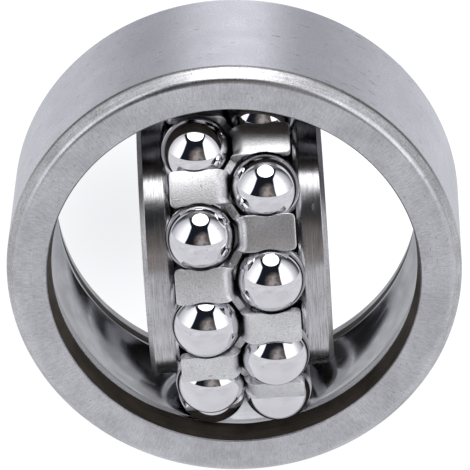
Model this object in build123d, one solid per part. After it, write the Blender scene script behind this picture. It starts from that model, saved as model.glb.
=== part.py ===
"""Self-aligning ball bearing, 17 mm bore, 47 mm outside, 19 mm wide, with its inner half swivelled out.

The origin is the centre of the spherical raceway. The outer ring stands on its rim with its axis along Y.
The inner ring, the cage and the balls are built upright about the same axis, then turned out of the outer
ring about the origin, as in the photograph. All sizes are in millimetres.
"""
import os
from math import asin, cos, degrees, hypot, pi, radians, sin, sqrt

from build123d import *

# The standard sizes of this bearing.
outside_radius = 47.0 / 2
bore_radius = 17.0 / 2
ring_width = 19.0

# Running clearances.
race_clearance = 0.05
pocket_clearance = 0.2
web_clearance = 0.25
rib_clearance = 0.4

# The room between bore and rim is shared out between the walls and the balls.
ring_room = outside_radius - bore_radius
outer_wall_share = 0.234
ball_share = 0.47627

# The raceway of the outer ring is a sphere about the origin, so the inner half may lean any way in it.
raceway_radius = outside_radius - outer_wall_share * ring_room

# The balls: 7.144 mm here, with 11 in each row.
ball_diameter = ball_share * ring_room
ball_radius = ball_diameter / 2
ball_reach = raceway_radius - race_clearance - ball_radius
least_spacing = 1.9
balls_per_row = int(2 * pi * ball_reach / (ball_diameter + least_spacing))
pitch_angle = 360.0 / balls_per_row
first_ball_angle = 27.6

# Each ball of one row stands midway between two of the other, with this gap to both.
row_gap = 1.124
stagger = sin(radians(pitch_angle / 4))
row_offset = sqrt(((ball_radius + row_gap / 2) ** 2 - (ball_reach * stagger) ** 2) / (1 - stagger ** 2))
pitch_radius = sqrt(ball_reach ** 2 - row_offset ** 2)

# The mouths and the rim of the outer ring.
land_depth = 3.1
mouth_flare = 0.31
mouth_edge_break = 0.12
outer_bevel_radial = 1.0
outer_bevel_axial = 1.35
outer_bevel_rounding = 0.9

# The inner ring. A groove is a little wider than a ball, which touches it on the line to the origin.
groove_radius = 0.52 * ball_diameter
shoulder_height = 0.213 * ball_diameter
rib_height = 0.115 * ball_diameter
shoulder_bevel = 0.5
bore_chamfer = 1.0
groove_shift = 1 + (groove_radius - ball_radius - race_clearance) / ball_reach
groove_centre_radius = pitch_radius * groove_shift
groove_centre_offset = row_offset * groove_shift
groove_floor_radius = groove_centre_radius - groove_radius
shoulder_radius = groove_floor_radius + shoulder_height
rib_radius = groove_floor_radius + rib_height

# The cage, pressed from one sheet. Its web swings clear of the balls, its tongues reach over them.
sheet = 0.85
inner_bend_radius = 0.4
outer_bend_radius = inner_bend_radius + sheet
tongue_outer_radius = pitch_radius + 0.273 * ball_diameter
tongue_reach = row_offset + 0.392 * ball_diameter
tongue_wing = 0.965
tongue_half_width = pitch_radius * sin(radians(pitch_angle / 2)) - ball_radius + tongue_wing
tongue_corner_radius = 0.45
web_inner_radius = rib_radius + rib_clearance
web_swing = ball_radius + web_clearance - row_offset + sheet / 2
web_flat_angle = pitch_angle / 8

# How the inner half stands in the outer ring.
swivel_lean = 3.66
swivel_turn = 90.0 - 2.15


def outer_ring():
    """The outer ring: bevelled rim, flat faces, turned land in each mouth, spherical raceway."""
    half = ring_width / 2
    land_end = half - land_depth
    land_end_radius = sqrt(raceway_radius ** 2 - land_end ** 2)
    mouth_radius = land_end_radius + mouth_flare
    bevel_foot = outside_radius - outer_bevel_radial
    bevel_top = half - outer_bevel_axial
    corners = [
        (land_end_radius, land_end),
        (mouth_radius, half - mouth_edge_break),
        (mouth_radius + mouth_edge_break, half),
        (bevel_foot, half),
        (outside_radius, bevel_top),
        (outside_radius, -bevel_top),
        (bevel_foot, -half),
        (mouth_radius + mouth_edge_break, -half),
        (mouth_radius, mouth_edge_break - half),
        (land_end_radius, -land_end),
    ]
    with BuildPart() as ring:
        with BuildSketch(Plane.XY) as section:
            with BuildLine():
                Polyline(*corners)
                ThreePointArc(corners[-1], (raceway_radius, 0), corners[0])
            make_face()
            bevel_corners = [
                v for v in section.vertices()
                if v.X > bevel_foot - 0.01 and abs(v.Y) > bevel_top - 0.01
            ]
            fillet(bevel_corners, outer_bevel_rounding)
        revolve(axis=Axis.Y)
    return ring.part


def inner_ring():
    """The inner ring: plain bore, two grooves with a rib between them, bevelled shoulders."""
    half = ring_width / 2
    shoulder_drop = groove_radius - shoulder_height
    rib_drop = groove_radius - rib_height
    shoulder_edge = groove_centre_offset + sqrt(groove_radius ** 2 - shoulder_drop ** 2)
    rib_edge = groove_centre_offset - sqrt(groove_radius ** 2 - rib_drop ** 2)
    with BuildPart() as ring:
        with BuildSketch(Plane.XY):
            with BuildLine():
                Polyline(
                    (rib_radius, rib_edge),
                    (rib_radius, -rib_edge),
                )
                ThreePointArc(
                    (rib_radius, -rib_edge),
                    (groove_floor_radius, -groove_centre_offset),
                    (shoulder_radius, -shoulder_edge),
                )
                Polyline(
                    (shoulder_radius, -shoulder_edge),
                    (shoulder_radius, shoulder_bevel - half),
                    (shoulder_radius - shoulder_bevel, -half),
                    (bore_radius + bore_chamfer, -half),
                    (bore_radius, bore_chamfer - half),
                    (bore_radius, half - bore_chamfer),
                    (bore_radius + bore_chamfer, half),
                    (shoulder_radius - shoulder_bevel, half),
                    (shoulder_radius, half - shoulder_bevel),
                    (shoulder_radius, shoulder_edge),
                )
                ThreePointArc(
                    (shoulder_radius, shoulder_edge),
                    (groove_floor_radius, groove_centre_offset),
                    (rib_radius, rib_edge),
                )
            make_face()
        revolve(axis=Axis.Y)
    return ring.part


def ball_place(side, index):
    """Centre of a ball. Side is -1 for the left row and 1 for the right row."""
    row_start = first_ball_angle if side < 0 else first_ball_angle - pitch_angle / 2
    angle = radians(row_start - index * pitch_angle)
    return Vector(pitch_radius * cos(angle), side * row_offset, pitch_radius * sin(angle))


def ball_solid(side, index):
    """One ball in its place, with its poles on the axis it rolls about."""
    centre = ball_place(side, index)
    contact_line = centre.normalized()
    rolling_axis = Axis.Y.direction - contact_line * Axis.Y.direction.dot(contact_line)
    return Plane(origin=centre, z_dir=rolling_axis) * Sphere(ball_radius)


def about_axis(shape, angle):
    """The shape turned about the bearing axis, from X towards Z."""
    return Rot(Y=-angle) * shape


def web_section(angle, offset, thickness):
    """A radial strip of the web, as a face whose middle stands at the given axial offset."""
    outer = tongue_outer_radius - outer_bend_radius / 2
    low = offset - thickness / 2
    high = offset + thickness / 2
    outline = Polyline(
        (web_inner_radius, low, 0),
        (outer, low, 0),
        (outer, high, 0),
        (web_inner_radius, high, 0),
        close=True,
    )
    return about_axis(make_face(outline), angle)


def web_half_wave():
    """One half pitch of the web, from the middle of one flat over the slope to the middle of the next."""
    half_pitch = pitch_angle / 2
    slope_angle = half_pitch - 2 * web_flat_angle
    slope_length = radians(slope_angle) * pitch_radius
    slope_thickness = sheet * hypot(slope_length, 2 * web_swing) / slope_length
    places = [
        (0.0, web_swing, sheet),
        (web_flat_angle, web_swing, (sheet + slope_thickness) / 2),
        (half_pitch - web_flat_angle, -web_swing, (sheet + slope_thickness) / 2),
        (half_pitch, -web_swing, sheet),
    ]
    sections = [web_section(angle, offset, thickness) for angle, offset, thickness in places]
    return loft(sections, ruled=True)


def tongue():
    """A tongue with its bend, leaving the web towards the right row, at angle zero."""
    near = web_swing - sheet / 2
    inner_radius = tongue_outer_radius - sheet
    half_angle = degrees(asin(tongue_half_width / tongue_outer_radius))
    with BuildPart() as piece:
        with BuildSketch(Plane.XY) as section:
            with BuildLine():
                Polyline(
                    (web_inner_radius, near),
                    (tongue_outer_radius, near),
                    (tongue_outer_radius, tongue_reach),
                    (inner_radius, tongue_reach),
                    (inner_radius, near + sheet),
                    (web_inner_radius, near + sheet),
                    close=True,
                )
            make_face()
            outer_corner = section.vertices().sort_by_distance((tongue_outer_radius, near))[0]
            inner_corner = section.vertices().sort_by_distance((inner_radius, near + sheet))[0]
            fillet(outer_corner, outer_bend_radius)
            fillet(inner_corner, inner_bend_radius)
        revolve(axis=Axis.Y, revolution_arc=2 * half_angle)
    centred = about_axis(piece.part, -half_angle)
    if abs(centred.center().Z) > 0.1:
        centred = about_axis(piece.part, half_angle)
    tip_edges = centred.edges().filter_by_position(Axis.Y, tongue_reach - 0.01, tongue_reach + 0.01)
    corners = [e for e in tip_edges if abs(e.length - sheet) < 0.01]
    return fillet(corners, tongue_corner_radius)


def cage():
    """The pressed cage: wavy web, tongues to both sides, pockets that follow the balls."""
    half_wave = web_half_wave()
    right_tongue = tongue()
    pieces = []
    for index in range(balls_per_row):
        angle = first_ball_angle - index * pitch_angle
        mirrored_wave = mirror(half_wave, about=Plane.XY)
        mirrored_tongue = mirror(right_tongue, about=Plane.XZ)
        pieces.append(about_axis(half_wave, angle))
        pieces.append(about_axis(mirrored_wave, angle))
        pieces.append(about_axis(right_tongue, angle))
        pieces.append(about_axis(mirrored_tongue, angle - pitch_angle / 2))
    body = pieces[0].fuse(*pieces[1:])
    pocket_radius = ball_radius + pocket_clearance
    pockets = [
        Pos(ball_place(side, index)) * Sphere(pocket_radius)
        for side in (-1, 1)
        for index in range(balls_per_row)
    ]
    return body.cut(*pockets)


def swivelled(shape):
    """The shape turned out of the outer ring, as the inner half stands in the photograph."""
    return Rot(Y=-swivel_lean) * (Rot(Z=-swivel_turn) * shape)


def export(shape, name):
    """Writes one piece as one solid."""
    solids = shape.solids()
    if len(solids) != 1 or not solids[0].is_valid:
        raise ValueError(f"{name}: {len(solids)} solids")
    solids[0].label = name
    export_step(solids[0], f"parts/{name}.step")
    print(f"{name}: {solids[0].volume:.1f} mm3")


os.makedirs("parts", exist_ok=True)
export(outer_ring(), "outer_ring")
export(swivelled(inner_ring()), "inner_ring")
export(swivelled(cage()), "cage")
for side, row in ((-1, "left"), (1, "right")):
    for index in range(balls_per_row):
        export(swivelled(ball_solid(side, index)), f"ball_{row}_{index + 1:02d}")
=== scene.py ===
# %% [markdown]
# # A self-aligning ball bearing, swivelled open
#
# The bearing is a set of turned, ground and pressed steel pieces: a fat outer ring whose inside is part of a
# sphere, and an inner half (inner ring, pressed cage, two rows of balls) that can lean any way inside it.
# In the photograph the inner half is turned a quarter round, so that the balls look out of the ring.
# This lesson dresses the exact engineering model: each piece is made again as a fine, soft-edged mesh in the
# same place, given its own steel, and set in a small white studio.

# %% Load the engineering model
from math import acos, atan2, cos, degrees, hypot, pi, radians, sin, sqrt, tan

import bmesh
import bpy
import numpy as np
from mathutils import Matrix, Vector


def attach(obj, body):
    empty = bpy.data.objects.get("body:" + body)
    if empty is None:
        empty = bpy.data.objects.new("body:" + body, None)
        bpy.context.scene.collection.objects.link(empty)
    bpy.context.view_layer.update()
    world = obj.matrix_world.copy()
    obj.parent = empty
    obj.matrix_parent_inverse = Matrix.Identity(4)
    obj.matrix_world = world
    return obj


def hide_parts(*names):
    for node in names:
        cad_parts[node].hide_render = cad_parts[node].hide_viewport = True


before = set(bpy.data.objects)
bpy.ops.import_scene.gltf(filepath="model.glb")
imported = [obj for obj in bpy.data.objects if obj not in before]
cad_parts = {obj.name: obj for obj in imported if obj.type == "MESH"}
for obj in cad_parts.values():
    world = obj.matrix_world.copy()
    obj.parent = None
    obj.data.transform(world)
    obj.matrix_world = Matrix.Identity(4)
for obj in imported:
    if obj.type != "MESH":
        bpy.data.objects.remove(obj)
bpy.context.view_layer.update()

# %% [markdown]
# ## The drawing
#
# Blender works in metres, but a bearing is drawn in millimetres. The sizes stand here once in millimetres,
# as on a drawing, and are turned to metres only where a mesh is written. They repeat the engineering model,
# so each new mesh lies exactly where the solid it stands for lies.

# %% Sizes in millimetres
MM = 0.001
rim_radius = 23.5
bore_radius = 8.5
half_width = 9.5
raceway_radius = 19.99
land_depth = 3.1
mouth_flare = 0.31
mouth_edge = 0.12
bevel_radial = 1.0
bevel_axial = 1.35
bevel_rounding = 0.9
mouth_rounding = 0.05

ball_radius = 3.572
pitch_radius = 16.0002
row_offset = 3.4504
balls_in_row = 11
pitch_angle = 360.0 / balls_in_row
half_pitch = pitch_angle / 2
first_ball_angle = 27.6
pocket_clearance = 0.2
pocket_radius = ball_radius + pocket_clearance

groove_radius = 3.7149
groove_centre_radius = 16.0909
groove_centre_offset = 3.4700
shoulder_radius = 13.8977
rib_radius = 13.1976
shoulder_bevel = 0.5
shoulder_rounding = 0.08
bore_chamfer = 1.0
bore_rounding = 0.1

sheet = 0.85
bend_radius = 0.825
tongue_radius = 17.95
tongue_reach = 6.251
tongue_half_width = 1.901
tongue_angle = degrees(tongue_half_width / tongue_radius)
web_inner_radius = 13.598
web_swing = 0.7966
pressed_edge = 0.16
print("balls of", 2 * ball_radius, "mm,", balls_in_row, "in a row, one every", round(pitch_angle, 2), "degrees")

# %% [markdown]
# The inner half is drawn upright, with its axis along Y, and then turned as a whole: almost a quarter turn
# about Z, and a small lean about Y. One matrix holds both turns, and every inner piece goes through it.

# %% The turn of the inner half
swivel_turn = radians(-87.85)
swivel_lean = radians(-3.66)
inner_half_turn = Matrix.Rotation(swivel_lean, 3, "Y") @ Matrix.Rotation(swivel_turn, 3, "Z")
print("inner axis points along", tuple(round(c, 4) for c in inner_half_turn @ Vector((0, 1, 0))))

# %% [markdown]
# ## Turned pieces
#
# A ring is turned on a lathe: one outline, spun about an axis. Sharp corners never survive grinding and
# tumbling, so each corner of the outline gets a small radius. A thin strip of the flat beside each rounding
# keeps the shading of the flat truly flat, because smooth shading blends over the last face.

# %% Round the corners of an outline
def rounded_outline(corners, steps=5, guard=0.06):
    """Corners are (radius, axial, rounding, finish). The finish belongs to the stretch after the corner."""
    outline = []
    count = len(corners)
    for i, (r, y, rounding, finish) in enumerate(corners):
        here = Vector((r, y))
        if rounding <= 0:
            outline.append((r, y, finish))
            continue
        back = Vector(corners[i - 1][:2]) - here
        ahead = Vector(corners[(i + 1) % count][:2]) - here
        to_back, to_ahead = back.normalized(), ahead.normalized()
        half_turn = to_back.angle(to_ahead) / 2
        reach = rounding / tan(half_turn)
        centre = here + (to_back + to_ahead).normalized() * (rounding / sin(half_turn))
        first, last = here + to_back * reach, here + to_ahead * reach
        if back.length > reach + 3 * guard:
            guard_point = first + to_back * guard
            outline.append((guard_point.x, guard_point.y, corners[i - 1][3]))
        for k in range(steps + 1):
            ray = (first - centre).lerp(last - centre, k / steps).normalized() * rounding
            outline.append((centre.x + ray.x, centre.y + ray.y, finish))
        if ahead.length > reach + 3 * guard:
            guard_point = last + to_ahead * guard
            outline.append((guard_point.x, guard_point.y, finish))
    return outline


square = [(0, 0, 0.2, "face"), (1, 0, 0.2, "face"), (1, 1, 0.2, "face"), (0, 1, 0.2, "face")]
print("a square with soft corners has", len(rounded_outline(square)), "points")

# %% [markdown]
# The lathe itself writes one ring of points for each point of the outline. It also works out two things that the
# steel needs later: a UV map, whose U runs around the ring, so that brushed steel knows its grain, and a place
# called lay, which holds the distance across the turned surface and the place around it, in millimetres. Noise
# that is stretched along lay becomes lathe lines, with no seam where the circle closes.

# %% Spin a profile about Y
def finely_divided(outline, longest):
    """Divides long stretches of the outline, so that the faces come out about even."""
    dense = []
    for (r, y, finish), (r2, y2, _) in zip(outline, outline[1:] + outline[:1]):
        parts = max(1, int(hypot(r2 - r, y2 - y) / longest))
        dense += [(r + (r2 - r) * k / parts, y + (y2 - y) * k / parts, finish) for k in range(parts)]
    return dense


def spun(profile, around):
    """Points, lay, faces and UVs of a profile of (radius, axial) rows. Runs of faces go along the profile."""
    count = len(profile)
    steps = np.hypot(*(np.roll(profile, -1, 0) - profile).T)
    across = np.concatenate([[0], np.cumsum(steps)])
    angles = np.arange(around) * 2 * pi / around
    c, s = np.cos(angles)[:, None], np.sin(angles)[:, None]
    radius, axial = profile[:, 0][None], profile[:, 1][None]
    points = np.stack([radius * c, np.repeat(axial, around, 0), radius * s], -1).reshape(-1, 3)
    lay = np.stack([np.repeat(across[:count][None], around, 0), radius * c, radius * s], -1).reshape(-1, 3)
    a, p = np.meshgrid(np.arange(around), np.arange(count), indexing="ij")
    a2, p2 = (a + 1) % around, (p + 1) % count
    faces = np.stack([a * count + p, a2 * count + p, a2 * count + p2, a * count + p2], -1).reshape(-1, 4)
    u0, v0 = a / around, across[p] / across[-1]
    u1, v1 = (a + 1) / around, across[p + 1] / across[-1]
    uvs = np.stack([u0, v0, u1, v0, u1, v1, u0, v1], -1).reshape(-1)
    return points, lay, faces, uvs


washer = np.array([(1.0, 0.0), (2.0, 0.0), (2.0, 1.0), (1.0, 1.0)])
print("a washer spun in 8 steps has", len(spun(washer, 8)[2]), "faces")

# %% [markdown]
# A turned piece is that spin written as a mesh. Lay goes in as a point attribute and the UV map as a layer, and
# each stretch of the outline takes the material of its finish. The faces are turned outwards at the end.

# %% Make a turned piece
def outward(mesh):
    """Turns every face to look outwards and shades it smooth."""
    work = bmesh.new()
    work.from_mesh(mesh)
    bmesh.ops.recalc_face_normals(work, faces=work.faces)
    if work.calc_volume(signed=True) < 0:
        bmesh.ops.reverse_faces(work, faces=work.faces)
    work.to_mesh(mesh)
    work.free()
    mesh.shade_smooth()


def turned_piece(name, outline, finishes, around=384, turn=Matrix.Identity(3), longest=0.5):
    """Spins the outline about Y, applies the turn, and gives each stretch the material of its finish."""
    dense = finely_divided(outline, longest)
    points, lay, faces, uvs = spun(np.array([(r, y) for r, y, _ in dense]), around)
    turned = points @ np.array(turn).T * MM
    mesh = bpy.data.meshes.new(name)
    mesh.from_pydata(turned.tolist(), [], faces.tolist())
    attribute = mesh.attributes.new("lay", "FLOAT_VECTOR", "POINT")
    attribute.data.foreach_set("vector", lay.astype(np.float32).ravel())
    layer = mesh.uv_layers.new(name="around")
    layer.data.foreach_set("uv", uvs.astype(np.float32))
    names = sorted(set(finish for _, _, finish in dense))
    for finish in names:
        mesh.materials.append(finishes[finish])
    picked = [names.index(finish) for _, _, finish in dense]
    mesh.polygons.foreach_set("material_index", np.tile(picked, around).astype(np.int32))
    piece = bpy.data.objects.new(name, mesh)
    bpy.context.scene.collection.objects.link(piece)
    outward(mesh)
    print(name, len(mesh.polygons), "faces, finishes:", names)
    return piece


# %% [markdown]
# ## Steel, finish by finish
#
# All of it is the same bearing steel. What the eye reads is the finish: mirror balls, polished raceways,
# ground faces, tumbled sheet metal, and the dark turned strip in the mouth of the outer ring that was never
# ground after hardening. So there is one recipe for the rings, and each finish sets it: how rough, how strongly
# the lines show, how much the tone wanders, and how stretched the glints are. The helpers below keep it short:
# each adds one node, sets or links its inputs, and gives back the socket that the next one takes.

# %% Small helpers for node trees
def node(tree, kind, settings=None, **inputs):
    """Adds a node. Inputs are named with underscores for spaces, or by number as in i0."""
    made = tree.nodes.new(kind)
    for key, value in (settings or {}).items():
        setattr(made, key, value)
    for key, value in inputs.items():
        by_number = key[0] == "i" and key[1:].isdigit()
        socket = made.inputs[int(key[1:]) if by_number else key.replace("_", " ")]
        if isinstance(value, bpy.types.NodeSocket):
            tree.links.new(value, socket)
        else:
            socket.default_value = value
    return made


def maths(tree, operation, a, b=0.0, clamp=False):
    return node(tree, "ShaderNodeMath", {"operation": operation, "use_clamp": clamp}, i0=a, i1=b).outputs[0]


def times(tree, a, b):
    return maths(tree, "MULTIPLY", a, b)


def plus(tree, total, *others, clamp=False):
    """Adds values one after another. With clamp, the last sum is held between 0 and 1."""
    for count, other in enumerate(others, 1):
        total = maths(tree, "ADD", total, other, clamp and count == len(others))
    return total


def minus(tree, a, b):
    return maths(tree, "SUBTRACT", a, b)


def ranged(tree, value, from_low, from_high, to_low, to_high, smooth=False):
    """Carries a value from one range to another, held at both ends."""
    kind = {"interpolation_type": "SMOOTHSTEP" if smooth else "LINEAR"}
    made = node(tree, "ShaderNodeMapRange", kind, Value=value)
    ends = {"From Min": from_low, "From Max": from_high, "To Min": to_low, "To Max": to_high}
    for key, number in ends.items():
        made.inputs[key].default_value = number
    return made.outputs["Result"]


def noise(tree, place, scale, detail=2.0, roughness=0.5):
    made = node(tree, "ShaderNodeTexNoise", None, Vector=place, Scale=scale, Detail=detail, Roughness=roughness)
    return made.outputs["Fac"]


def stretched(tree, place, factors):
    made = node(tree, "ShaderNodeVectorMath", {"operation": "MULTIPLY"}, i0=place, i1=factors)
    return made.outputs[0]


def mixed_colour(tree, factor, a, b):
    made = node(tree, "ShaderNodeMix", {"data_type": "RGBA"}, i0=factor, i6=a, i7=b)
    return made.outputs[2]


# %% [markdown]
# Two more helpers do what all the steels share: they start a material, and they let a height tilt its surface.

# %% What every steel shares
def new_steel(name, metal=1.0):
    """A bare steel, with its node tree and its shader."""
    steel = bpy.data.materials.new(name)
    steel.use_nodes = True
    shader = steel.node_tree.nodes["Principled BSDF"]
    shader.inputs["Metallic"].default_value = metal
    return steel, steel.node_tree, shader


def add_bump(tree, shader, height, strength, depth):
    """Lets a height tilt the surface. The depth is in millimetres."""
    bump = node(tree, "ShaderNodeBump", None, Strength=strength, Distance=depth * MM, Height=height)
    tree.links.new(bump.outputs["Normal"], shader.inputs["Normal"])


# %% [markdown]
# Turned steel reads its pattern from lay. Noise that changes fast across the surface and slowly around it gives
# lathe lines. Noise that changes fast around and slowly across gives the short strokes of a ground face. A slow
# noise makes clouds, and the tops of two more make pits and scuffs. Lines, grain and pits also drive a slight
# bump, so they catch the light as real ones do.

# %% Turned and ground steel
def centred(tree, pattern, reach):
    """Stretches a noise about its middle, so that it runs from minus a half to a half."""
    return ranged(tree, pattern, 0.5 - reach, 0.5 + reach, -0.5, 0.5)


def strokes_across(tree, lay, along=1.4, around=160.0):
    """Short strokes across the surface: the noise is slow along them and fast around the axis."""
    section = stretched(tree, lay, (0.0, 1.0, 1.0))
    way_round = node(tree, "ShaderNodeVectorMath", {"operation": "NORMALIZE"}, i0=section).outputs[0]
    combed = node(tree, "ShaderNodeVectorMath", {"operation": "ADD"},
                  i0=stretched(tree, lay, (along, 0.0, 0.0)),
                  i1=stretched(tree, way_round, (0.0, around, around)))
    return noise(tree, combed.outputs[0], 1.0, 2.0, 0.6)


def turned_steel(name, colour, dark_colour, roughness, spread=0.05, lines=0.3, lines_per_mm=9.0, grain=0.4,
                 across=0.0, stretch=0.0, specks=0.3, mottle=0.3, scratches=0.0, relief=0.002,
                 metal=1.0, sheen=0.5, plain_tone=0.35):
    """One recipe for every finish. The tone runs from the colour, at 0, to the dark colour, at 1.

    Lines, grain, mottle, across, specks and scratches are the shares of the patterns in the tone. Spread is how
    far the roughness wanders, stretch how stretched the glints are, and relief the depth of the bump.
    """
    steel, tree, shader = new_steel(name, metal)
    lay = node(tree, "ShaderNodeAttribute", {"attribute_name": "lay"}).outputs["Vector"]
    lathe_lines = noise(tree, stretched(tree, lay, (lines_per_mm, 0.3, 0.3)), 1.0, 3.0, 0.65)
    fine_grain = noise(tree, lay, 5.5, 3.0, 0.7)
    clouds = noise(tree, lay, 0.26, 3.0, 0.6)
    pits = ranged(tree, noise(tree, lay, 2.6, 2.0, 0.7), 0.67, 0.74, 0.0, 1.0)
    scuffs = ranged(tree, noise(tree, stretched(tree, lay, (3.2, 0.6, 0.9)), 1.0, 1.0), 0.70, 0.76, 0.0, 1.0)
    tone = plus(tree,
                times(tree, centred(tree, lathe_lines, 0.2), lines),
                times(tree, centred(tree, fine_grain, 0.2), grain),
                times(tree, centred(tree, clouds, 0.15), mottle),
                times(tree, centred(tree, strokes_across(tree, lay), 0.2), across),
                times(tree, pits, specks),
                times(tree, scuffs, scratches),
                plain_tone, clamp=True)
    tree.links.new(mixed_colour(tree, tone, (*colour, 1), (*dark_colour, 1)), shader.inputs["Base Color"])
    rough = plus(tree,
                 ranged(tree, clouds, 0.35, 0.65, -spread, spread), roughness,
                 times(tree, plus(tree, pits, scuffs), 0.1))
    tree.links.new(rough, shader.inputs["Roughness"])
    height = plus(tree, times(tree, lathe_lines, lines), times(tree, fine_grain, grain))
    add_bump(tree, shader, minus(tree, height, times(tree, pits, specks)), 0.5, relief)
    shader.inputs["Specular IOR Level"].default_value = sheen
    if stretch:
        shader.inputs["Anisotropic"].default_value = stretch
        tangent = node(tree, "ShaderNodeTangent", {"direction_type": "UV_MAP", "uv_map": "around"})
        tree.links.new(tangent.outputs["Tangent"], shader.inputs["Tangent"])
    return steel


# %% [markdown]
# Each finish below gives the clean colour, the dark colour and the roughness, and then what differs from the
# recipe. The land is the dark strip that was never ground. In the far mouth the photograph shows it pale towards
# the edge, where light comes from behind, so the half of that strip towards the mouth is painted pale, as painted
# light.

# %% The finishes of the rings
ring_finishes = {
    "rim": turned_steel(
        "ground_rim_steel", (0.70, 0.705, 0.77), (0.42, 0.42, 0.465), 0.28,
        spread=0.015, lines=0.06, grain=0.5, mottle=0.1, specks=0.6, scratches=0.9),
    "bevel": turned_steel(
        "turned_bevel_steel", (0.66, 0.66, 0.68), (0.22, 0.215, 0.22), 0.36,
        lines=0.5, grain=0.7, specks=0.7, mottle=0.25, relief=0.012),
    "face": turned_steel(
        "ground_face_steel", (0.67, 0.67, 0.70), (0.31, 0.31, 0.33), 0.3,
        lines=0.1, grain=0.3, across=0.4, specks=0.9, mottle=0.25, scratches=0.25, relief=0.004),
    "land": turned_steel(
        "dark_turned_land", (0.10, 0.082, 0.066), (0.03, 0.026, 0.022), 0.6,
        lines=0.6, lines_per_mm=6.0, mottle=0.6, metal=0.0, sheen=0.12),
    # painted light: a pale copy of the land for the far mouth, where light comes from behind
    "far_land": turned_steel(
        "painted_light_turned_land", (0.5, 0.5, 0.52), (0.24, 0.235, 0.24), 0.4,
        lines=0.5, lines_per_mm=5.0, mottle=0.3),
    "raceway": turned_steel(
        "polished_raceway_steel", (0.49, 0.495, 0.525), (0.19, 0.188, 0.198), 0.1,
        spread=0.04, lines=0.15, grain=0.1, mottle=0.4, specks=0.1, relief=0.001),
    "shoulder": turned_steel(
        "ground_shoulder_steel", (0.62, 0.62, 0.64), (0.28, 0.275, 0.28), 0.2,
        lines=1.0, grain=0.3, stretch=0.3, relief=0.005),
    "bore": turned_steel(
        "ground_bore_steel", (0.6, 0.59, 0.58), (0.4, 0.39, 0.38), 0.3, stretch=0.4),
}
print("ring finishes:", sorted(ring_finishes))

# %% [markdown]
# ## The outer ring
#
# Going round its outline: the bevelled rim that slides into a housing, two flat faces, a short dark strip in
# each mouth, here called the land, and the raceway, which is one arc about the centre of the whole bearing.
# That arc is what lets the inner half lean.

# %% Turn the outer ring
def arc(radius, centre, start, end, steps, finish):
    """Points on an arc, by angle from the radial direction, without the last one."""
    r0, y0 = centre
    places = [radians(start + (end - start) * k / steps) for k in range(steps)]
    return [(r0 + radius * cos(t), y0 + radius * sin(t), 0.0, finish) for t in places]


land_end = half_width - land_depth
land_end_radius = sqrt(raceway_radius ** 2 - land_end ** 2)
mouth_radius = land_end_radius + mouth_flare
raceway_angle = degrees(atan2(land_end, land_end_radius))
# the half of the far land towards the mouth takes the painted light
pale_share = 0.5
pale_radius, pale_start = land_end_radius + mouth_flare * pale_share, land_end + land_depth * pale_share
outer_outline = [
    (land_end_radius, land_end, 0.0, "land"),
    (pale_radius, pale_start, 0.0, "far_land"),
    (mouth_radius, half_width - mouth_edge, mouth_rounding, "bevel"),
    (mouth_radius + mouth_edge, half_width, mouth_rounding, "face"),
    (rim_radius - bevel_radial, half_width, bevel_rounding, "bevel"),
    (rim_radius, half_width - bevel_axial, bevel_rounding, "rim"),
    (rim_radius, bevel_axial - half_width, bevel_rounding, "bevel"),
    (rim_radius - bevel_radial, -half_width, bevel_rounding, "face"),
    (mouth_radius + mouth_edge, -half_width, mouth_rounding, "bevel"),
    (mouth_radius, mouth_edge - half_width, mouth_rounding, "land"),
]
outer_outline += arc(raceway_radius, (0, 0), -raceway_angle, raceway_angle, 40, "raceway")
outer_ring = turned_piece("outer_ring_turned", rounded_outline(outer_outline), ring_finishes, around=480)

# %% [markdown]
# ## The inner ring
#
# A plain bore for the shaft, two grooves for the balls with a low rib between them, and a cylindrical shoulder
# on each side. The grooves are a little wider than the balls. It is turned upright and then swivelled.

# %% Turn the inner ring
groove_low = degrees(acos((groove_centre_radius - rib_radius) / groove_radius))
groove_high = degrees(acos((groove_centre_radius - shoulder_radius) / groove_radius))
centre_right = (groove_centre_radius, groove_centre_offset)
centre_left = (groove_centre_radius, -groove_centre_offset)
inner_outline = arc(groove_radius, centre_left, 180 - groove_low, 180 + groove_high, 24, "raceway")
inner_outline += [
    (shoulder_radius, -groove_centre_offset - groove_radius * sin(radians(groove_high)), 0.0, "shoulder"),
    (shoulder_radius, shoulder_bevel - half_width, shoulder_rounding, "bevel"),
    (shoulder_radius - shoulder_bevel, -half_width, shoulder_rounding, "face"),
    (bore_radius + bore_chamfer, -half_width, bore_rounding, "bevel"),
    (bore_radius, bore_chamfer - half_width, bore_rounding, "bore"),
    (bore_radius, half_width - bore_chamfer, bore_rounding, "bevel"),
    (bore_radius + bore_chamfer, half_width, bore_rounding, "face"),
    (shoulder_radius - shoulder_bevel, half_width, shoulder_rounding, "bevel"),
    (shoulder_radius, half_width - shoulder_bevel, shoulder_rounding, "shoulder"),
]
inner_outline += arc(groove_radius, centre_right, 180 - groove_high, 180 + groove_low, 24, "raceway")
inner_outline += [
    (rib_radius, groove_centre_offset - groove_radius * sin(radians(groove_low)), 0.0, "shoulder"),
]
inner_ring = turned_piece("inner_ring_turned", rounded_outline(inner_outline), ring_finishes, around=360,
                          turn=inner_half_turn)

# %% [markdown]
# ## The cage
#
# The cage is pressed from one sheet: a wavy web that passes between the two rows, and tongues that bend off it
# to the left and right in turn and hold the balls. It repeats eleven times, so only one pitch is modelled, as
# a thin skin without thickness. Geometry Nodes copy it round the axis and weld the copies, which is how a
# repeat is best kept: change the pitch, and the whole cage follows. Thickness and soft edges come after.

# %% The form of the web and the tongues
def web_height(angle):
    """How far the middle of the web stands off the middle plane at an angle, in millimetres."""
    flat = pitch_angle / 8
    angle = abs((angle + half_pitch) % pitch_angle - half_pitch)
    share = min(1.0, max(0.0, (angle - flat) / (half_pitch - 2 * flat)))
    bow = 1.0 - 0.12 * sin(pi * share) ** 2
    return web_swing * (1 - 2 * share) * bow


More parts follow.
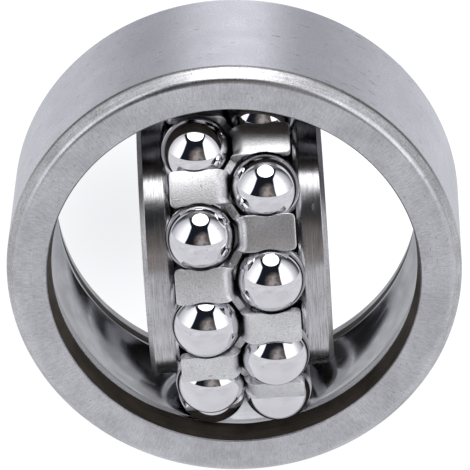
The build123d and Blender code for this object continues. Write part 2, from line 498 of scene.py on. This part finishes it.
def tongue_tip(distance, corner=0.5):
    """How far a tongue reaches at a distance in from its side, with rounded corners."""
    if distance >= corner:
        return tongue_reach
    return tongue_reach - (corner - sqrt(max(0.0, corner ** 2 - (corner - distance) ** 2)))


print("web from", web_height(0.0), "to", web_height(half_pitch), "mm, tongues to", tongue_tip(1.0), "mm")

# %% [markdown]
# The skin of one pitch is a row of columns, one for each angle. A column runs from the inner edge of the web
# outwards, and where there is a tongue it goes on round the bend and along the tongue to its tip.

# %% One pitch of the cage, as a skin
def pitch_columns():
    """Angles of the columns: close together near the sides of the tongues, wider on the slopes."""
    shares = [0.0, 0.2, 0.4, 0.6, 0.75, 0.86, 0.93, 1.0]
    right = [tongue_angle * k for k in shares]
    left = [half_pitch - tongue_angle * k for k in reversed(shares)]
    slope = [right[-1] + (left[0] - right[-1]) * k / 6 for k in range(1, 6)]
    half = right + slope + left
    return [-a for a in reversed(half[1:])] + half


def column_line(angle, web_steps=9, bend_steps=7, tongue_steps=14):
    """One column as (radius, axial) points: the web, and where there is a tongue, its bend and its run."""
    height, from_middle = web_height(angle), abs(angle)
    web_end = tongue_radius - sheet / 2 - bend_radius
    line = [(web_inner_radius + (web_end - web_inner_radius) * k / web_steps, height) for k in range(web_steps + 1)]
    on_right = from_middle <= tongue_angle + 1e-6
    on_left = from_middle >= half_pitch - tongue_angle - 1e-6
    if not (on_right or on_left):
        return line
    side = 1 if on_right else -1
    for k in range(1, bend_steps + 1):
        t = pi / 2 * k / bend_steps
        line.append((web_end + bend_radius * sin(t), height + side * bend_radius * (1 - cos(t))))
    inward = tongue_angle - (from_middle if on_right else half_pitch - from_middle)
    tip = tongue_tip(radians(inward) * tongue_radius)
    start = abs(height + side * bend_radius)
    for k in range(1, tongue_steps + 1):
        line.append((tongue_radius - sheet / 2, side * (start + (tip - start) * k / tongue_steps)))
    return line


def cage_pitch():
    """A mesh of one pitch: half a left tongue, a slope, a right tongue, a slope, half a left tongue."""
    columns = pitch_columns()
    work = bmesh.new()
    grid = []
    for angle in columns:
        a = radians(angle)
        grid.append([work.verts.new(Vector((r * cos(a), y, r * sin(a))) * MM) for r, y in column_line(angle)])
    for one, two in zip(grid, grid[1:]):
        for k in range(min(len(one), len(two)) - 1):
            work.faces.new((one[k], one[k + 1], two[k + 1], two[k]))
    mesh = bpy.data.meshes.new("cage_pitch")
    work.to_mesh(mesh)
    work.free()
    piece = bpy.data.objects.new("cage_pitch", mesh)
    bpy.context.scene.collection.objects.link(piece)
    print("one pitch of the cage:", len(columns), "columns,", len(mesh.polygons), "faces")
    return piece


cage = cage_pitch()

# %% [markdown]
# A Geometry Nodes tree is made once, with named inputs, and then run on a piece: the inputs are set, the tree is
# evaluated, and its result is kept as a plain mesh. Both the cage and the balls are made that way.

# %% Make and run a Geometry Nodes tree
def new_tree(name, sockets):
    tree = bpy.data.node_groups.new(name, "GeometryNodeTree")
    tree.is_modifier = True
    tree.interface.new_socket("Geometry", in_out="INPUT", socket_type="NodeSocketGeometry")
    for label, kind in sockets:
        tree.interface.new_socket(label, in_out="INPUT", socket_type=kind)
    tree.interface.new_socket("Geometry", in_out="OUTPUT", socket_type="NodeSocketGeometry")
    return tree, tree.nodes.new("NodeGroupInput"), tree.nodes.new("NodeGroupOutput")


def run_tree(piece, tree, values):
    """Sets the inputs by their identifiers, evaluates the tree, and keeps the result as a plain mesh."""
    modifier = piece.modifiers.new("make", "NODES")
    modifier.node_group = tree
    for item in tree.interface.items_tree:
        if item.item_type == "SOCKET" and item.in_out == "INPUT" and item.name in values:
            modifier[item.identifier] = values[item.name]
    piece.update_tag()
    graph = bpy.context.evaluated_depsgraph_get()
    graph.update()
    made = piece.evaluated_get(graph)
    mesh = bpy.data.meshes.new_from_object(made, preserve_all_data_layers=True, depsgraph=graph)
    piece.modifiers.remove(modifier)
    old = piece.data
    piece.data = mesh
    bpy.data.meshes.remove(old)
    mesh.name = piece.name


# %% [markdown]
# The tree below has four named inputs: how many pitches there are, the angle of the first, the distance within
# which the copies are welded, and the material. It puts a copy on each of a row of points, turns each copy by
# its number, makes them real and welds them.

# %% The tree that repeats a piece about the axis
def repeat_tree():
    tree, given, result = new_tree("repeat_about_the_axis", [
        ("Copies", "NodeSocketInt"), ("First angle", "NodeSocketFloat"),
        ("Weld distance", "NodeSocketFloat"), ("Material", "NodeSocketMaterial")])
    points = node(tree, "GeometryNodePoints", None, Count=given.outputs["Copies"])
    number = node(tree, "GeometryNodeInputIndex").outputs[0]
    step = maths(tree, "DIVIDE", 2 * pi, given.outputs["Copies"])
    turn = minus(tree, times(tree, number, step), given.outputs["First angle"])
    angles = node(tree, "ShaderNodeCombineXYZ", None, Y=turn).outputs[0]
    copies = node(tree, "GeometryNodeInstanceOnPoints", None, Points=points.outputs[0],
                  Instance=given.outputs["Geometry"], Rotation=angles)
    real = node(tree, "GeometryNodeRealizeInstances", None, Geometry=copies.outputs[0])
    welded = node(tree, "GeometryNodeMergeByDistance", None, Geometry=real.outputs[0],
                  Distance=given.outputs["Weld distance"])
    painted = node(tree, "GeometryNodeSetMaterial", None, Geometry=welded.outputs[0],
                   Material=given.outputs["Material"])
    tree.links.new(painted.outputs[0], result.inputs[0])
    return tree


# %% [markdown]
# Sheet that has been pressed and tumbled is satin: no lines, a fine even grain at about a tenth of a
# millimetre, and small dents. Its colour is darkened towards the bottom of the cage as painted shade, so the
# pressed mesh carries an attribute called depth, the distance below the tops of the tongues, and the colour follows
# it.

# %% Pressed sheet steel
def sheet_steel():
    steel, tree, shader = new_steel("tumbled_sheet_steel")
    place = node(tree, "ShaderNodeTexCoord").outputs["Object"]
    depth = node(tree, "ShaderNodeAttribute", {"attribute_name": "depth"}).outputs["Fac"]
    grain = noise(tree, place, 6500.0, 2.0, 0.7)
    clouds = noise(tree, place, 300.0, 2.0, 0.5)
    dents = ranged(tree, noise(tree, place, 2300.0, 2.0, 0.6), 0.64, 0.72, 0.0, 1.0)
    tone = plus(tree,
                ranged(tree, clouds, 0.35, 0.65, 0.0, 0.15),
                ranged(tree, grain, 0.36, 0.64, 0.0, 0.3),
                times(tree, dents, 0.32),
                # the depth term darkens the tone towards the bottom of the cage: painted shade
                ranged(tree, depth, 0.7, 2.2, 0.0, 1.4, smooth=True), clamp=True)
    satin = mixed_colour(tree, tone, (0.86, 0.86, 0.88, 1), (0.22, 0.215, 0.22, 1))
    # painted shade: deep in the cage the colour goes nearly black
    shade = ranged(tree, depth, 1.5, 2.8, 0.0, 0.85, smooth=True)
    tree.links.new(mixed_colour(tree, shade, satin, (0.04, 0.037, 0.036, 1)), shader.inputs["Base Color"])
    tree.links.new(ranged(tree, clouds, 0.35, 0.65, 0.33, 0.42), shader.inputs["Roughness"])
    add_bump(tree, shader, minus(tree, grain, times(tree, dents, 0.3)), 1.0, 0.03)
    return steel


# %% [markdown]
# The press and the pockets of the real cage keep it clear of the balls. Here the points of the mesh are drawn
# clear of them in two steps: the tongues narrow beside the balls, and the web is dished away from them.

# %% Keep clear of the balls
def ball_place(row, index):
    """Centre of a ball in the upright inner half. Row is -1 for the left and 1 for the right."""
    start = first_ball_angle - (half_pitch if row > 0 else 0.0)
    a = radians(start - index * pitch_angle)
    return (pitch_radius * cos(a), row * row_offset, pitch_radius * sin(a))


def narrow_tongues(points, past_web=0.3):
    """Turns the sides of the tongues in where a ball stands beside them, and says which points are on tongues."""
    radius = np.hypot(points[:, 0], points[:, 2])
    angle = np.degrees(np.arctan2(points[:, 2], points[:, 0])) - first_ball_angle
    axial = points[:, 1].copy()
    own = np.where(axial >= 0, 0.0, half_pitch)
    off = (angle - own + half_pitch) % pitch_angle - half_pitch
    reach = radius ** 2 + pitch_radius ** 2 + (np.abs(axial) - row_offset) ** 2 - pocket_radius ** 2
    limit = half_pitch - np.degrees(np.arccos(np.clip(reach / (2 * pitch_radius * radius), -1, 1)))
    on_tongue = (np.abs(axial) > web_swing + past_web) & (np.abs(off) < tongue_angle + 1)
    narrowed = off * np.clip(limit / tongue_angle, 0.3, 1.0)
    turned = np.radians(np.where(on_tongue, angle - off + narrowed, angle) + first_ball_angle)
    return np.stack([radius * np.cos(turned), axial, radius * np.sin(turned)], -1), on_tongue


def dish_web(points, on_tongue):
    """Moves what is inside a pocket out to its surface, apart from the tongues."""
    for row in (-1, 1):
        for index in range(balls_in_row):
            centre = np.array(ball_place(row, index))
            away = points - centre
            distance = np.linalg.norm(away, axis=1)
            inside = (distance < pocket_radius) & ~on_tongue
            points[inside] = centre + away[inside] * (pocket_radius / distance[inside])[:, None]
    return points


print("first ball of the left row at", tuple(round(c, 3) for c in ball_place(-1, 0)), "mm, pocket", pocket_radius)

# %% [markdown]
# The skin is copied about the axis, given its thickness and soft edges, and kept as a plain mesh. Then its
# points are drawn clear of the balls, each gets its depth, and the whole is swivelled.

# %% Press the cage
def press_cage(cage, steel):
    """Copies the skin about the axis, thickens it, keeps it clear of the balls and swivels it."""
    run_tree(cage, repeat_tree(), {"Copies": balls_in_row, "First angle": radians(first_ball_angle),
                                   "Weld distance": 0.01 * MM, "Material": steel})
    solid = cage.modifiers.new("sheet", "SOLIDIFY")
    solid.thickness = sheet * MM
    solid.offset = 0.0
    solid.use_even_offset = True
    soft = cage.modifiers.new("soft_edges", "BEVEL")
    soft.width = pressed_edge * MM
    soft.segments = 3
    soft.limit_method = "ANGLE"
    soft.angle_limit = radians(50)
    graph = bpy.context.evaluated_depsgraph_get()
    graph.update()
    mesh = bpy.data.meshes.new_from_object(cage.evaluated_get(graph), depsgraph=graph)
    cage.modifiers.clear()
    cage.data = mesh
    cage.name = mesh.name = "cage_pressed"
    flat = np.empty(len(mesh.vertices) * 3)
    mesh.vertices.foreach_get("co", flat)
    points = dish_web(*narrow_tongues(flat.reshape(-1, 3) / MM))
    # depth, the distance below the tops of the tongues, drives the painted shade of the sheet steel
    below_tongues = tongue_radius - np.hypot(points[:, 0], points[:, 2])
    depth = mesh.attributes.new("depth", "FLOAT", "POINT")
    depth.data.foreach_set("value", below_tongues.astype(np.float32))
    placed = points @ np.array(inner_half_turn).T * MM
    mesh.vertices.foreach_set("co", placed.ravel())
    mesh.update()
    outward(mesh)
    print("cage:", len(mesh.polygons), "faces")


press_cage(cage, sheet_steel())

# %% [markdown]
# ## The balls
#
# Balls are lapped until they are mirrors. A perfect mirror looks drawn, so a slow haze and fine scuffs change
# its roughness a little.

# %% Mirror steel
def mirror_steel():
    steel, tree, shader = new_steel("lapped_ball_steel")
    place = node(tree, "ShaderNodeTexCoord").outputs["Object"]
    haze = noise(tree, place, 300.0, 3.0, 0.6)
    scuffs = noise(tree, stretched(tree, place, (900.0, 5200.0, 2600.0)), 1.0, 2.0, 0.6)
    marks = ranged(tree, scuffs, 0.64, 0.78, 0.0, 1.0)
    rough = plus(tree, ranged(tree, haze, 0.35, 0.7, 0.015, 0.05), times(tree, marks, 0.05))
    tree.links.new(rough, shader.inputs["Roughness"])
    colour = mixed_colour(tree, marks, (0.76, 0.755, 0.785, 1), (0.58, 0.575, 0.60, 1))
    tree.links.new(colour, shader.inputs["Base Color"])
    add_bump(tree, shader, scuffs, 0.04, 0.001)
    return steel


# %% [markdown]
# A ball from a lathe of meridians has two poles, where mirror reflections pinch. A cube whose faces are cut
# into a fine grid and then blown up to a sphere has none, so its reflections stay clean. The tree does that:
# it makes the cube, moves each point to the radius, and stands the ball at its place.

# %% The tree for a ball
def ball_tree():
    tree, given, result = new_tree("ball_from_a_cube", [
        ("Radius", "NodeSocketFloat"), ("Cuts", "NodeSocketInt"), ("Place", "NodeSocketVector"),
        ("Material", "NodeSocketMaterial")])
    cuts = given.outputs["Cuts"]
    cube = node(tree, "GeometryNodeMeshCube", None, Vertices_X=cuts, Vertices_Y=cuts, Vertices_Z=cuts)
    where = node(tree, "GeometryNodeInputPosition").outputs[0]
    bowed = node(tree, "ShaderNodeVectorMath", {"operation": "NORMALIZE"}, i0=where).outputs[0]
    scaled = node(tree, "ShaderNodeVectorMath", {"operation": "SCALE"}, i0=bowed)
    tree.links.new(given.outputs["Radius"], scaled.inputs["Scale"])
    blown = node(tree, "GeometryNodeSetPosition", None, Geometry=cube.outputs[0], Position=scaled.outputs[0])
    smooth = node(tree, "GeometryNodeSetShadeSmooth", None, Geometry=blown.outputs[0])
    point = node(tree, "GeometryNodePoints", None, Count=1, Position=given.outputs["Place"])
    stood = node(tree, "GeometryNodeInstanceOnPoints", None, Points=point.outputs[0], Instance=smooth.outputs[0])
    real = node(tree, "GeometryNodeRealizeInstances", None, Geometry=stood.outputs[0])
    painted = node(tree, "GeometryNodeSetMaterial", None, Geometry=real.outputs[0],
                   Material=given.outputs["Material"])
    tree.links.new(painted.outputs[0], result.inputs[0])
    return tree


# %% [markdown]
# Twenty-two balls share that one tree. Each is its own object, because each one rolls by itself.

# %% Make all the balls
ball_cuts = 33
ball_maker = ball_tree()
ball_steel = mirror_steel()
balls = {}
for row, row_name in ((-1, "left"), (1, "right")):
    for index in range(balls_in_row):
        body = f"ball_{row_name}_{index + 1:02d}"
        ball = bpy.data.objects.new(body + "_lapped", bpy.data.meshes.new(body))
        bpy.context.scene.collection.objects.link(ball)
        centre = inner_half_turn @ Vector(ball_place(row, index)) * MM
        run_tree(ball, ball_maker, {"Radius": ball_radius * MM, "Cuts": ball_cuts,
                                    "Place": centre, "Material": ball_steel})
        balls[body] = ball
print("balls:", len(balls), "faces each:", len(ball.data.polygons))

# %% [markdown]
# ## Who moves with whom
#
# Every new piece rides on the body of the solid it stands for, so the bearing still swivels and spins.

# %% Ride on the bodies
for piece, body in [(outer_ring, "outer_ring"), (inner_ring, "inner_ring"), (cage, "cage")]:
    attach(piece, body)
    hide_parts(body)
for body, ball in balls.items():
    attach(ball, body)
    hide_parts(body)
print("pieces that ride:", 3 + len(balls))

# %% [markdown]
# ## The studio
#
# Polished steel has no colour of its own: it shows the room. The room here is a white table, white walls
# to both sides, a bright patch of wall behind, a dark opening on the side of the camera, and one round lamp
# nearly overhead. The table is the only part that is a mesh. It keeps the contact shadow, glows a little, and
# has a painted shadow, a greyer patch seen through the ring. In steel it shows soft patches, as paper on a desk
# does.

# %% The table
def white_table():
    white = bpy.data.materials.new("white_table")
    white.use_nodes = True
    tree = white.node_tree
    tree.nodes.clear()
    rays = node(tree, "ShaderNodeLightPath")
    seen = rays.outputs["Is Camera Ray"]
    mirrored = maths(tree, "MAXIMUM", rays.outputs["Is Glossy Ray"], rays.outputs["Is Transmission Ray"])
    place = node(tree, "ShaderNodeTexCoord").outputs["Object"]
    # painted shadow: the table glows less in a soft patch behind the ring, seen through it
    from_painted_shadow = node(tree, "ShaderNodeVectorMath", {"operation": "DISTANCE"},
                      i0=stretched(tree, place, (2.2, 1.0, 1.0)), i1=(-0.0308, 0.05, -0.0235))
    painted_shadow_glow = ranged(tree, from_painted_shadow.outputs["Value"], 0.0, 0.045, 0.13, 0.45, smooth=True)
    paper = ranged(tree, noise(tree, place, 22.0, 2.0), 0.35, 0.65, -0.06, 0.12)
    plain_glow = 0.82
    strength = plus(tree, times(tree, seen, painted_shadow_glow), plain_glow, times(tree, paper, minus(tree, 1.0, seen)))
    tint = mixed_colour(tree, seen, (0.965, 0.97, 1.0, 1), (0.968, 0.976, 1.0, 1))
    paint = node(tree, "ShaderNodeBsdfDiffuse", None, Color=(0.82, 0.82, 0.83, 1))
    glow = node(tree, "ShaderNodeEmission", None, Color=tint, Strength=strength)
    share = maths(tree, "MAXIMUM", times(tree, seen, 0.75), times(tree, mirrored, 0.85))
    mix = node(tree, "ShaderNodeMixShader", None, i0=share, i1=paint.outputs[0], i2=glow.outputs[0])
    out = tree.nodes.new("ShaderNodeOutputMaterial")
    tree.links.new(mix.outputs[0], out.inputs[0])
    return white


def table_top(radius=1.6, corners=128):
    """A round table that the rim stands on. Its radius is in metres."""
    mesh = bpy.data.meshes.new("table_top")
    turns = [k * 2 * pi / corners for k in range(corners)]
    edge = [(radius * cos(t), radius * sin(t), -rim_radius * MM) for t in turns]
    mesh.from_pydata(edge, [], [list(range(corners))])
    mesh.materials.append(white_table())
    top = bpy.data.objects.new("table_top", mesh)
    bpy.context.scene.collection.objects.link(top)
    print("table top, radius", radius, "m, at", -rim_radius, "mm")


table_top()

# %% [markdown]
# The walls are written in the world shader, as brightness by compass direction and height, so that nothing
# blocks the camera from any side. The compass is 0 towards the camera, 90 to the right and 180 straight behind.
# First comes how bright the walls are at each place round the compass, as a list of angles and levels.

# %% How bright the walls are, round the compass
wall_levels = [
    (-180, 1.35), (-173, 1.1), (-168, 0.9), (-165, 0.54), (-158, 0.54), (-155, 0.85), (-150, 0.85),
    (-144, 0.75), (-136, 0.7), (-132, 0.65), (-124, 0.6), (-120, 0.5), (-95, 0.7), (-75, 1.2),
    (-50, 1.7), (50, 1.7), (70, 1.45), (85, 0.85), (100, 0.5), (112, 0.2), (120, 0.3), (124, 0.6),
    (136, 0.7), (143, 0.75), (151, 0.85), (156, 0.8), (160, 0.62), (167, 0.46), (172, 0.95),
    (175, 1.2), (180, 1.35),
]
ramp_top = 2.0


def wall_curve(tree, compass):
    """Brightness of the walls through a colour ramp, which holds each level as a share of the top."""
    share = plus(tree, maths(tree, "DIVIDE", compass, 2 * pi), 0.5)
    ramp = node(tree, "ShaderNodeValToRGB", None, Fac=share)
    stops = ramp.color_ramp.elements
    while len(stops) < len(wall_levels):
        stops.new(0.5)
    for stop, (angle, level) in zip(stops, wall_levels):
        stop.position = angle / 360 + 0.5
        stop.color = (level / ramp_top, level / ramp_top, level / ramp_top, 1)
    return times(tree, ramp.outputs["Color"], ramp_top)


levels = [level for _, level in wall_levels]
print("wall levels:", len(levels), "from", min(levels), "to", max(levels))

# %% [markdown]
# The dark opening towards the camera has a waist rather high up and is wider below and above it, which gives the
# balls their dark hourglass. A soft dim patch in it stands for the far end of the room. The wall behind is bright
# up to an edge, which is highest in the middle and falls to both sides.

# %% The opening, the far end and the wall behind
def side_walls(tree, x, height):
    """1 on the walls beside the dark opening, 0 in it. The opening is narrowest at its waist."""
    waist, top = radians(53), 1.5
    half_gap = plus(tree, ranged(tree, height, 0.0, waist, 0.68, 0.43), ranged(tree, height, waist, top, 0.0, 0.22))
    beside = maths(tree, "ABSOLUTE", plus(tree, x, ranged(tree, height, 0.0, waist, 0.08, 0.02)))
    return ranged(tree, minus(tree, beside, half_gap), -0.03, 0.03, 0.0, 1.0, smooth=True)


def far_end_glow(tree, towards, compass, height):
    """The dim patch, a blurred disc of 36 degrees with a slow noise in it."""
    reach = radians(36)
    side = maths(tree, "DIVIDE", minus(tree, compass, radians(10)), reach)
    rise = maths(tree, "DIVIDE", minus(tree, height, radians(14)), reach)
    place = node(tree, "ShaderNodeCombineXYZ", None, X=side, Y=rise).outputs[0]
    off = node(tree, "ShaderNodeVectorMath", {"operation": "LENGTH"}, i0=place).outputs["Value"]
    clouds = ranged(tree, noise(tree, towards, 3.5, 1.0), 0.35, 0.65, 0.5, 1.35)
    return times(tree, ranged(tree, off, 0.2, 1.0, 0.3, 0.0, smooth=True), clouds)


def wall_behind(tree, bearing, height):
    """1 on the bright wall, and dimmer over its edge. Bearing is the compass without its sign."""
    beside, middle = radians(150), radians(162)
    edge = plus(tree, ranged(tree, bearing, radians(125), beside, 0.0, radians(17)),
                ranged(tree, bearing, beside, middle, 0.0, radians(16), smooth=True))
    softness = ranged(tree, bearing, beside, middle, radians(9), radians(5))
    over = maths(tree, "DIVIDE", minus(tree, height, edge), softness)
    least = maths(tree, "MAXIMUM", ranged(tree, bearing, beside, middle, 0.06, 0.36),
                  ranged(tree, height, radians(45), radians(55), 0.06, 0.3))
    return maths(tree, "MAXIMUM", ranged(tree, over, -1.0, 1.0, 1.0, 0.0), least)


# %% [markdown]
# The room puts them together: the side walls in front give way to the wall behind, the ceiling is dimmer, and
# what is dark is a little blue, or warm in the far end. The camera itself sees plain white behind the bearing.

# %% The room, by direction
def room():
    world = bpy.data.worlds.new("white_room")
    bpy.context.scene.world = world
    world.use_nodes = True
    tree = world.node_tree
    tree.nodes.clear()
    towards = node(tree, "ShaderNodeTexCoord").outputs["Generated"]
    x, y, z = node(tree, "ShaderNodeSeparateXYZ", None, Vector=towards).outputs
    compass = maths(tree, "ARCTAN2", x, times(tree, y, -1.0))
    bearing = maths(tree, "ABSOLUTE", compass)
    height = maths(tree, "ARCSINE", z)
    rear = ranged(tree, bearing, radians(100), radians(118), 0.0, 1.0, smooth=True)
    lit = plus(tree, times(tree, side_walls(tree, x, height), minus(tree, 1.0, rear)),
               times(tree, wall_behind(tree, bearing, height), rear))
    ceiling = ranged(tree, height, radians(50), radians(75), 1.0, 0.6, smooth=True)
    walls = times(tree, times(tree, lit, ceiling), wall_curve(tree, compass))
    far_end = far_end_glow(tree, towards, compass, height)
    level = plus(tree, walls, 0.02, far_end)
    warmth = ranged(tree, far_end, 0.0, 0.05, 0.0, 1.0)
    dark_tint = mixed_colour(tree, warmth, (0.6, 0.72, 1, 1), (1, 0.9, 0.86, 1))
    tint = mixed_colour(tree, maths(tree, "MAXIMUM", lit, rear), dark_tint, (0.975, 0.98, 1.0, 1))
    room_glow = node(tree, "ShaderNodeBackground", None, Color=tint, Strength=level)
    white_glow = node(tree, "ShaderNodeBackground", None, Color=(1, 1, 1, 1), Strength=1.0)
    seen = node(tree, "ShaderNodeLightPath").outputs["Is Camera Ray"]
    mix = node(tree, "ShaderNodeMixShader", None, i0=seen, i1=room_glow.outputs[0], i2=white_glow.outputs[0])
    out = tree.nodes.new("ShaderNodeOutputWorld")
    tree.links.new(mix.outputs[0], out.inputs[0])
    print("room:", len(tree.nodes), "nodes")


room()

# %% [markdown]
# One round lamp gives the balls their bright cap and the bevel its white line. Its power is worked out from how
# bright it should look in a mirror, so its size can change without changing the picture's light.

# %% The round lamp
def round_lamp(height_angle=86.7, half_angle=22.8, distance=0.6, brightness=3.0):
    """A disc lamp that looks at the origin. Brightness is what a mirror shows, where 1 is white."""
    lamp = bpy.data.lights.new("round_lamp", "AREA")
    lamp.shape = "DISK"
    radius = distance * tan(radians(half_angle))
    lamp.size = 2 * radius
    lamp.energy = brightness * pi * pi * radius ** 2
    stand = bpy.data.objects.new("round_lamp", lamp)
    bpy.context.scene.collection.objects.link(stand)
    up = radians(height_angle)
    stand.location = Vector((0, -cos(up), sin(up))) * distance
    stand.rotation_mode = "QUATERNION"
    stand.rotation_quaternion = stand.location.to_track_quat("Z", "Y")
    print("lamp power", round(lamp.energy, 3), "W")


round_lamp()

# %% [markdown]
# ## The camera
#
# The camera stands half a metre away and a little above, with a long lens, as for a catalogue picture. Its
# height, distance, lens and slight roll were worked out from the outlines of the ring in the photograph.

# %% Set up the camera
def camera(azimuth=0.736, elevation=27.375, roll=0.356, distance=502.936, lens=367.97, aside=-0.032, above=0.096):
    a, e, t = radians(azimuth), radians(elevation), radians(roll)
    back = Vector((sin(a) * cos(e), -cos(a) * cos(e), sin(e)))
    right = Vector((cos(a), sin(a), 0))
    up = back.cross(right)
    view = bpy.data.cameras.new("camera")
    view.lens = lens
    view.sensor_width = 36.0
    view.clip_start, view.clip_end = 0.01, 20
    eye = bpy.data.objects.new("camera", view)
    bpy.context.scene.collection.objects.link(eye)
    across = cos(t) * right + sin(t) * up
    upward = cos(t) * up - sin(t) * right
    turn = Matrix((across, upward, back)).transposed()
    eye.rotation_mode = "QUATERNION"
    eye.rotation_quaternion = turn.to_quaternion()
    eye.location = (back * distance + right * aside + up * above) * MM
    bpy.context.scene.camera = eye
    print("camera at", tuple(round(c, 4) for c in eye.location), "m, lens", lens, "mm")


camera()
bpy.context.scene.view_settings.view_transform = "Standard"
